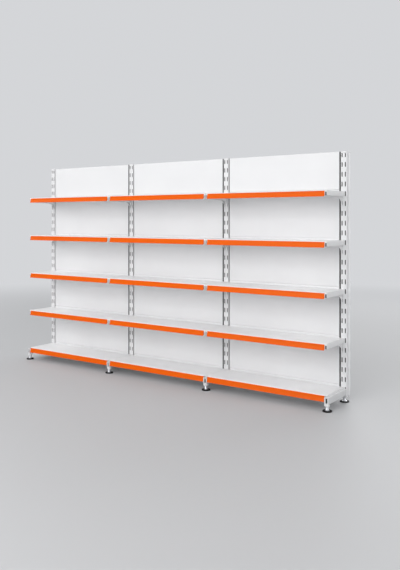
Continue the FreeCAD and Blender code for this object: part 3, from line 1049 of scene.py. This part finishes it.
@dataclass
class BaseLegs(Assembly):
    """Base legs with their end plugs and foot bosses."""

    corner: float = 0.003
    corner_steps: int = 6
    wall: float = 0.0015
    hook_sheet: float = 0.004
    hook_reach: float = 0.040
    hook_edge: float = 0.0004
    weld_gap: float = 1e-5
    slot_edge: float = 0.075
    plug_frame: Pair = (0.009, 0.007)
    plug_edge: float = 0.0008
    plug_play: float = 0.0018
    sleeve_corner: float = 0.002
    boss_radius: float = 0.020
    boss_bore: float = 0.0128
    boss_chamfer: Pair = (0.002, 0.003)
    boss_edge: float = 0.001
    boss_bore_edge: float = 0.0005
    boss_top_edge: float = 0.0003
    boss_sides: int = 48
    hook: Hook = field(default_factory=Hook)

    def build(self) -> None:
        """Build the tubes and what shows at their front ends."""
        plugs = Shell()
        bosses = Shell()
        for index in range(BAYS + 1):
            solid = f"base_leg_{index + 1}"
            low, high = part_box(solid)
            leg = Shell()
            self.add_tube(leg, low, high)
            self.add_hooks(leg, low, high)
            self.dress(leg.piece(f"leg_{index + 1}"), PowderCoat(), "frame", solid, inside=PaintedShade())
            self.add_plug(plugs, low, high)
            self.add_boss(bosses, (low.x + high.x) / 2.0)
        self.dress(plugs.piece("leg_plugs"), MouldedPlastic(), "frame", "leg_end_plugs")
        self.dress(bosses.piece("leg_bosses"), PowderCoat(), "frame", "foot_bosses")

    def section(self, low: Vector, high: Vector, inset: Pair, corner: float) -> Array:
        """Rounded rectangle in (x, z) inside the outside of a tube.

        Args:
            low: Lowest corner of the leg.
            high: Highest corner of the leg.
            inset: Distances from the tube's sides, and from its top and bottom.
            corner: Corner radius.

        Returns:
            Points of the section, shape (n, 2).
        """
        sides = rectangle(high.x - low.x - 2.0 * inset[0], high.z - low.z - 2.0 * inset[1])
        return rounded(sides, corner, self.corner_steps) + [(low.x + high.x) / 2.0, (low.z + high.z) / 2.0]

    def add_tube(self, shell: Shell, low: Vector, high: Vector) -> None:
        """Tube: a rounded rectangle carried along Y, outside and inside, with a ring on each end.

        Args:
            shell: Shell to add to.
            low: Lowest corner of the leg.
            high: Highest corner of the leg.
        """
        ends = (low.y, FACE_Y)
        skin, bore = (carried(self.section(low, high, (inset, inset), self.corner - inset), Axis.Y, ends)
                      for inset in (0.0, self.wall))
        shell.tube(skin)
        # The bore wears the painted shade: a near-black finish for the shade inside the tube, seen through the
        # plug's slot.
        shell.tube(bore, coat=1)
        for end in (0, 1):
            shell.tube(np.stack([skin[end], bore[end]]))

    def add_hooks(self, shell: Shell, low: Vector, high: Vector) -> None:
        """Hook plates welded inside the side walls.

        Args:
            shell: Shell to add to.
            low: Lowest corner of the leg.
            high: Highest corner of the leg.
        """
        bottom, top = low.z + self.wall, high.z - self.wall
        edge = self.hook_edge
        corners = [(-self.hook_reach, top, edge), (0.0, top, edge), *self.hook.corners(self.slot_edge),
                   (0.0, bottom, edge), (-self.hook_reach, bottom, edge)]
        inset = self.wall + self.hook_sheet / 2.0
        for x in (low.x + inset, high.x - inset):
            hooked_plate(shell, corners, (x, FACE_Y, 0.0), self.hook_sheet - 2.0 * self.weld_gap)

    def add_plug(self, shell: Shell, low: Vector, high: Vector) -> None:
        """Plug: a plate with rounded edges round a slot, and a sleeve in the tube, as one closed ring.

        The ring's section runs from the slot's inner end out over the face to the rim and back behind it.

        Args:
            shell: Shell to add to.
            low: Lowest corner of the leg.
            high: Highest corner of the leg.
        """
        face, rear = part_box("leg_end_plugs")
        rim = self.section(low, high, (0.0, 0.0), self.corner)
        slot = self.section(low, high, self.plug_frame, self.corner)
        inner = self.section(low, high, (self.plug_play, self.plug_play), self.sleeve_corner)
        soft = self.plug_edge
        near = soft / self.plug_frame[0]
        seat = low.y - self.weld_gap
        share = np.array([0.0, 0.0, near, 1.0 - near, 1.0, 1.0])
        depth = np.array([rear.y, face.y + soft, face.y, face.y, face.y + soft, seat])
        flat = slot[None] + (rim - slot)[None] * share[:, None, None]
        rings = np.stack(np.broadcast_arrays(flat[..., 0], depth[:, None], flat[..., 1]), axis=-1)
        shell.tube(np.concatenate([rings, carried(inner, Axis.Y, (seat, rear.y)), rings[:1]]))

    def add_boss(self, shell: Shell, x: float) -> None:
        """Boss: a collar turned round the stem, with a chamfered lower edge.

        Args:
            shell: Shell to add to.
            x: Middle of the leg on X.
        """
        low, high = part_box("foot_bosses")
        centre = np.array([x, (low.y + high.y) / 2.0, 0.0])
        radius, bore = self.boss_radius, self.boss_bore
        inward, upward = self.boss_chamfer
        shell.lathe([(bore, low.z, self.boss_bore_edge), (radius - inward, low.z, self.boss_edge),
                     (radius, low.z + upward, self.boss_edge), (radius, high.z, self.boss_top_edge),
                     (bore, high.z, self.boss_top_edge)], centre, self.boss_sides)


@dataclass
class Upright(Assembly):
    """One slotted upright: a folded front channel with two slot columns, on a back plate with flanges."""

    index: int
    width: float = 0.046
    wall: float = 0.002
    corner: float = 0.003
    corner_steps: int = 6
    slot_width: float = 0.008
    slot_height: float = 0.035
    slot_corner: float = 0.003
    slot_steps: int = 4
    slot_first: float = 0.075
    slot_spacing: float = 0.070
    rows: int = 25
    flange_edge: float = 0.0008
    flange_steps: int = 5
    foot_plate: float = 0.003
    foot_bore: float = 0.0103
    foot_corner: float = 0.0005
    foot_steps: int = 10

    def build(self) -> None:
        """Fold the channel round its slots, then add the back plate and the foot plate."""
        solid = f"upright_{self.index + 1}"
        low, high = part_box(solid)
        x = (low.x + high.x) / 2.0
        channel = Shell()
        edges = self.cell_edges(low.z, high.z)
        self.add_front(channel, x, low.y, edges)
        self.add_sides(channel, x, low.y, high.y - self.wall, edges)
        piece = channel.piece(f"{solid}_channel")
        turn_to(piece, Plane.WALL)
        # The channel's inner side wears the painted shade: a near-black finish for the shade inside the closed
        # section, so the slots show dark.
        thicken(piece, self.wall, inner_step=1)
        self.dress(piece, PowderCoat(), "frame", solid, inside=PaintedShade())
        plates = Shell()
        self.add_back(plates, low, high)
        self.add_foot_plate(plates, x, low, high)
        self.dress(plates.piece(f"{solid}_plates"), PowderCoat(), "frame", solid, inside=PaintedShade())

    def cell_edges(self, low: float, high: float) -> Array:
        """Heights between the slot rows, from the lower to the upper end.

        Args:
            low: Height of the lower end.
            high: Height of the upper end.

        Returns:
            Heights, shape (rows + 2,).
        """
        margin = (self.slot_spacing - self.slot_height) / 2.0
        edges = self.slot_first - margin + self.slot_spacing * np.arange(self.rows + 1)
        return np.concatenate([[low], np.minimum(edges, high)])

    def add_front(self, shell: Shell, x: float, y: float, edges: Array) -> None:
        """Front wall, cell by cell: each slot's rounded ring joined to the corners of its cell.

        Args:
            shell: Shell to add to.
            x: Middle of the upright on X.
            y: Place of the front plane on Y.
            edges: Heights of the cell edges, shape (rows + 2,).
        """
        flat = self.width / 2.0 - self.corner
        slot = rounded(rectangle(self.slot_width, self.slot_height), self.slot_corner, self.slot_steps)
        for side in (-1.0, 1.0):
            left, right = sorted((x, x + side * flat))
            for row, (low, high) in enumerate(zip(edges[1:-1], edges[2:])):
                middle = self.slot_first + self.slot_height / 2.0 + self.slot_spacing * row
                hole = slot + [x + side * SLOT_OFFSET, middle]
                cell = np.array([[left, low], [right, low], [right, high], [left, high]])
                outside = np.repeat(cell, self.slot_steps, axis=0)
                shell.tube(np.concatenate([carried(line, Axis.Y, (y,)) for line in (outside, hole)]))
            shell.grid(np.array([[[place, y, height] for height in edges[:2]] for place in (left, right)]))

    def add_sides(self, shell: Shell, x: float, front: float, rear: float, edges: Array) -> None:
        """Side walls with the front bends: an (x, y) line carried along Z through the cell edges.

        Args:
            shell: Shell to add to.
            x: Middle of the upright on X.
            front: Place of the front plane on Y.
            rear: Where the side walls end on Y.
            edges: Heights of the cell edges, shape (rows + 2,).
        """
        half = self.width / 2.0
        corners = np.array([[half - self.corner, 0.0], [half, 0.0], [half, rear - front]])
        # The first point of the line is also the start of its bend.
        line = rounded(corners, self.corner, self.corner_steps, closed=False)[1:]
        for side in (-1.0, 1.0):
            shell.grid(np.swapaxes(carried(line * [side, 1.0] + [x, front], Axis.Z, edges), 0, 1))

    def add_back(self, shell: Shell, low: Vector, high: Vector) -> None:
        """Back plate with its two flanges: a rounded strip carried along Z.

        Its front wears the painted shade inside the channel and beside a panel, where it stands in for the
        shade in the gaps, and the coat on the outer sides of the run.

        Args:
            shell: Shell to add to.
            low: Lowest corner of the upright.
            high: Highest corner of the upright.
        """
        steps = self.flange_steps
        channel = self.width / 2.0 - self.wall
        front = -self.wall / 2.0
        strip = rounded(rectangle(high.x - low.x, self.wall), self.flange_edge, steps)
        strip = np.insert(strip, steps, [[-channel, front], [channel, front]], axis=0)
        # Strips of the front in the painted shade: the channel's front, and each flange front that faces a
        # panel's gap.
        shaded_strips = np.zeros(len(strip), dtype=int)
        shaded_strips[steps - 1:steps + 2] = self.index > 0, 1, self.index < BAYS
        strip += [(low.x + high.x) / 2.0, high.y - self.wall / 2.0]
        shell.prism(carried(strip, Axis.Z, (low.z, high.z)), coat=shaded_strips)

    def add_foot_plate(self, shell: Shell, x: float, low: Vector, high: Vector) -> None:
        """Plate in the lower end: rings from the bore out to the rim, over the top and back below.

        Args:
            shell: Shell to add to.
            x: Middle of the upright on X.
            low: Lowest corner of the upright.
            high: Highest corner of the upright.
        """
        depth = high.y - low.y - 2.0 * self.wall
        middle = np.array([x, low.y + self.wall + depth / 2.0])
        # The bore's points start at the same corner as the rim's.
        turn = round_angles(4 * self.foot_steps)[0] - 0.75 * np.pi
        bore = self.foot_bore * np.stack([np.cos(turn), np.sin(turn)], axis=1) + middle
        sides = rectangle(self.width - 2.0 * self.wall, depth)
        rim = rounded(sides, self.foot_corner, self.foot_steps) + middle
        top = low.z + self.foot_plate
        shell.tube(stacked([(bore, low.z), (rim, low.z), (rim, top), (bore, top), (bore, low.z)]))


@dataclass
class UprightCaps(Assembly):
    """Plastic caps in the upper ends of the uprights."""

    thickness: float = 0.003
    corner: float = 0.003
    corner_steps: int = 6
    edge: float = 0.0009
    plate: Pair = (0.046, 0.030)
    plug: Pair = (0.0414, 0.0254)

    def build(self) -> None:
        """Mould the four caps as one piece."""
        caps = Shell()
        low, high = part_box("upright_caps")
        for index in range(BAYS + 1):
            centre = np.array([middle_of(f"upright_{index + 1}")[0], (low.y + high.y) / 2.0])
            self.add_cap(caps, centre, low.z, high.z)
        self.dress(caps.piece("caps"), MouldedPlastic(), "frame", "upright_caps")

    def add_cap(self, shell: Shell, centre: Array, low: float, high: float) -> None:
        """Cap: a rounded plate over the upright and a plug inside it, as rings from the plug up.

        Args:
            shell: Shell to add to.
            centre: Middle of the upright in (x, y).
            low: Height of the plug's lower end.
            high: Height of the cap's top.
        """
        outer = rounded(rectangle(*self.plate), self.corner, self.corner_steps)
        plug = rounded(rectangle(*self.plug), self.corner / 2.0, self.corner_steps) + centre
        seat = high - self.thickness
        inset = 1.0 - self.edge / (self.plate[1] / 2.0)
        shell.prism(stacked([(plug, low), (plug, seat), (outer + centre, seat),
                             (outer + centre, high - self.edge), (outer * inset + centre, high)]))


@dataclass
class Brackets(Assembly):
    """Hook-in brackets of one level and hand, one in each bay."""

    level: int
    hand: Hand
    sheet: float = 0.004
    edge: float = 0.0004
    top: float = -0.001
    top_edge: float = 0.001
    nose: float = -0.2735
    nose_depth: float = 0.040
    nose_bevel: float = 0.010
    nose_round: float = 0.010
    root: Pair = (-0.042, -0.048)
    sweep: float = 0.060
    heel_front: float = -0.006
    heel_low: float = -0.106
    heel_straight: float = 0.018
    heel_edge: float = 0.0004
    heel_toe: float = 0.002
    heel_bend: float = 0.004
    slot_edges: Pair = (-0.035, -0.105)
    hook: Hook = field(default_factory=Hook)

    def build(self) -> None:
        """Cut the plates as one piece."""
        first, side = self.hand.value
        tag = f"level_{self.level}_{self.hand.name.lower()}"
        surface = BASE_LEVEL + SHELF_SPACING * self.level
        shell = Shell()
        for bay in range(BAYS):
            x = middle_of(f"upright_{bay + first + 1}")[0] + side * SLOT_OFFSET
            hooked_plate(shell, self.corners(), (x, FACE_Y, surface), self.sheet)
        piece = shell.piece(f"bracket_plates_{tag}")
        soften(piece, self.edge)
        self.dress(piece, PowderCoat(), "frame", f"brackets_{tag}")

    def corners(self) -> list[Triple]:
        """Corners of the plate: under the tray, down the hooks, round the heel and along the arm.

        Returns:
            Corners of (y, z, rounding), from the front plane and the shelf's surface.
        """
        low = self.top - self.nose_depth
        hooks = [corner for edge in self.slot_edges for corner in self.hook.corners(edge)]
        return [(self.nose, self.top, self.top_edge), (0.0, self.top, self.top_edge), *hooks,
                (0.0, self.heel_low, self.heel_edge), (self.heel_front, self.heel_low, self.heel_toe),
                (self.heel_front, self.heel_low + self.heel_straight, self.heel_bend),
                (*self.root, self.sweep), (self.nose + self.nose_bevel, low, self.nose_round),
                (self.nose, low + self.nose_bevel, self.nose_round)]


# Studio


@dataclass(frozen=True)
class Lamp:
    """Rectangular area lamp that the camera doesn't see."""

    name: str
    place: Triple
    size: Pair
    watts: float
    target: Triple = (0.0, 0.1, 0.9)

    def hang(self) -> None:
        """Add the lamp, turned to its target."""
        light = bpy.data.lights.new(self.name, "AREA")
        light.shape = "RECTANGLE"
        light.size, light.size_y = self.size
        light.energy = self.watts
        holder = linked(self.name, light)
        holder.visible_camera = False
        holder.location = self.place
        holder.rotation_euler = (Vector(self.target) - Vector(self.place)).to_track_quat("-Z", "Y").to_euler()


@dataclass
class Studio:
    """Pale floor, soft lamps and the camera."""

    camera_place: Triple = (3.383, -4.363, 1.307)
    camera_turn: float = 34.9
    sensor: float = 36.0
    focal_pixels: float = 665.5
    frame_pixels: tuple[int, int] = (400, 570)
    horizon_pixel: float = 219.7
    background: Triple = (0.66, 0.67, 0.69)
    ambient_tint: Triple = (0.95, 0.97, 1.0)
    ambient: float = 0.17
    floor_tone: Triple = (0.60, 0.605, 0.615)
    floor_roughness: float = 0.55
    floor_reach: float = 60.0
    floor_fade: Pair = (3.0, 9.0)
    lamps: tuple[Lamp, ...] = (
        Lamp("front", (0.3, -6.0, 2.8), (6.5, 3.5), 232.0),
        Lamp("high", (0.0, -4.5, 5.0), (7.0, 3.0), 70.0),
        Lamp("right_end", (6.3, 0.3, 3.8), (5.0, 3.6), 112.0),
        Lamp("left_end", (-6.3, -0.8, 3.9), (5.0, 3.4), 150.0),
        Lamp("behind", (0.5, 6.5, 3.6), (6.0, 4.0), 160.0),
    )

    def build(self) -> None:
        """Set the stage."""
        self.set_world()
        self.lay_floor()
        for lamp in self.lamps:
            lamp.hang()
        self.place_camera()

    def set_world(self) -> None:
        """Even grey light, and the background colour where the camera or a reflection sees it."""
        world = bpy.data.worlds.new("studio")
        bpy.context.scene.world = world
        world.use_nodes = True
        tree = world.node_tree
        tree.nodes.clear()
        even = node(tree, "Background", {"Color": (*self.ambient_tint, 1.0), "Strength": self.ambient})
        shown = node(tree, "Background", {"Color": (*self.background, 1.0)})
        mixed = node(tree, "MixShader", {"Fac": self.sight(tree), 1: even[0], 2: shown[0]})
        node(tree, "OutputWorld", {"Surface": mixed[0]})

    @staticmethod
    def sight(tree: Tree) -> Socket:
        """One where the camera, a reflection or a refraction looks, and nought for light that falls.

        Args:
            tree: Tree to add its nodes to.

        Returns:
            The value, 0 or 1.
        """
        rays = node(tree, "LightPath", {})
        total = rays["Is Camera Ray"]
        for other in ("Is Glossy Ray", "Is Transmission Ray"):
            total = node(tree, "Math", {0: total, 1: rays[other]}, operation="ADD", use_clamp=True)[0]
        return total

    def lay_floor(self) -> None:
        """Pale floor that takes the shadow and fades into the background far away."""
        mesh = bpy.data.meshes.new("floor")
        square = carried(rectangle(2.0 * self.floor_reach, 2.0 * self.floor_reach), Axis.Z, (0.0,))[0]
        mesh.from_pydata(square.tolist(), [], [(0, 1, 2, 3)])
        floor = linked("floor", mesh)
        material = bpy.data.materials.new("floor")
        material.use_nodes = True
        tree = material.node_tree
        near = feed(tree.nodes["Principled BSDF"], {"Base Color": (*self.floor_tone, 1.0),
                                                    "Roughness": self.floor_roughness})
        glow = node(tree, "Emission", {"Color": (*self.background, 1.0)})
        mixed = node(tree, "MixShader", {"Fac": self.far_sight(tree), 1: near[0], 2: glow[0]})
        feed(tree.nodes["Material Output"], {"Surface": mixed[0]})
        mesh.materials.append(material)

    def far_sight(self, tree: Tree) -> Socket:
        """Share of the background on the floor that is seen: none near the middle, all of it far away.

        Args:
            tree: Tree of the floor's material.

        Returns:
            The share, from 0 to 1.
        """
        place = node(tree, "TexCoord", {})["Object"]
        distance = node(tree, "VectorMath", {0: place}, operation="LENGTH")["Value"]
        near, far = self.floor_fade
        fade = node(tree, "MapRange", {"Value": distance, "From Min": near, "From Max": far},
                    interpolation_type="SMOOTHSTEP")["Result"]
        return node(tree, "Math", {0: fade, 1: self.sight(tree)}, operation="MULTIPLY")[0]

    def place_camera(self) -> None:
        """Level camera with its frame shifted down, at the photograph's viewing angle."""
        width, height = self.frame_pixels
        longer = max(width, height)
        data = bpy.data.cameras.new("camera")
        data.sensor_width = self.sensor
        data.lens = self.focal_pixels / longer * self.sensor
        data.shift_y = (self.horizon_pixel - height / 2.0) / longer
        holder = linked("camera", data)
        holder.location = self.camera_place
        holder.rotation_euler = (math.radians(90.0), 0.0, math.radians(self.camera_turn))
        bpy.context.scene.camera = holder
        bpy.context.scene.view_settings.view_transform = "Standard"


def corners(box: tuple[Vector, Vector]) -> list[list[float]]:
    """Lowest and highest corner as plain lists."""
    return [[round(value, 5) for value in corner] for corner in box]


def main() -> None:
    """Build the sub-assemblies in order and set the stage."""
    logging.basicConfig(level=logging.INFO, format="%(name)s %(message)s")
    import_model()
    UprightCaps().build()
    BaseLegs().build()
    for index in range(BAYS + 1):
        Upright(index).build()
        LevellingFoot(FootRow.FRONT, index).build()
        LevellingFoot.rear(index).build()
    for level in range(1, UPPER_LEVELS + 1):
        for hand in Hand:
            Brackets(level, hand).build()
    for bay in range(BAYS):
        BackPanels(bay).build()
        for level in range(UPPER_LEVELS + 1):
            ShelfTray(bay, level).build()
            TicketRail(bay, level).build()
    Studio().build()
    bpy.context.view_layer.update()


if __name__ == "__main__":
    main()
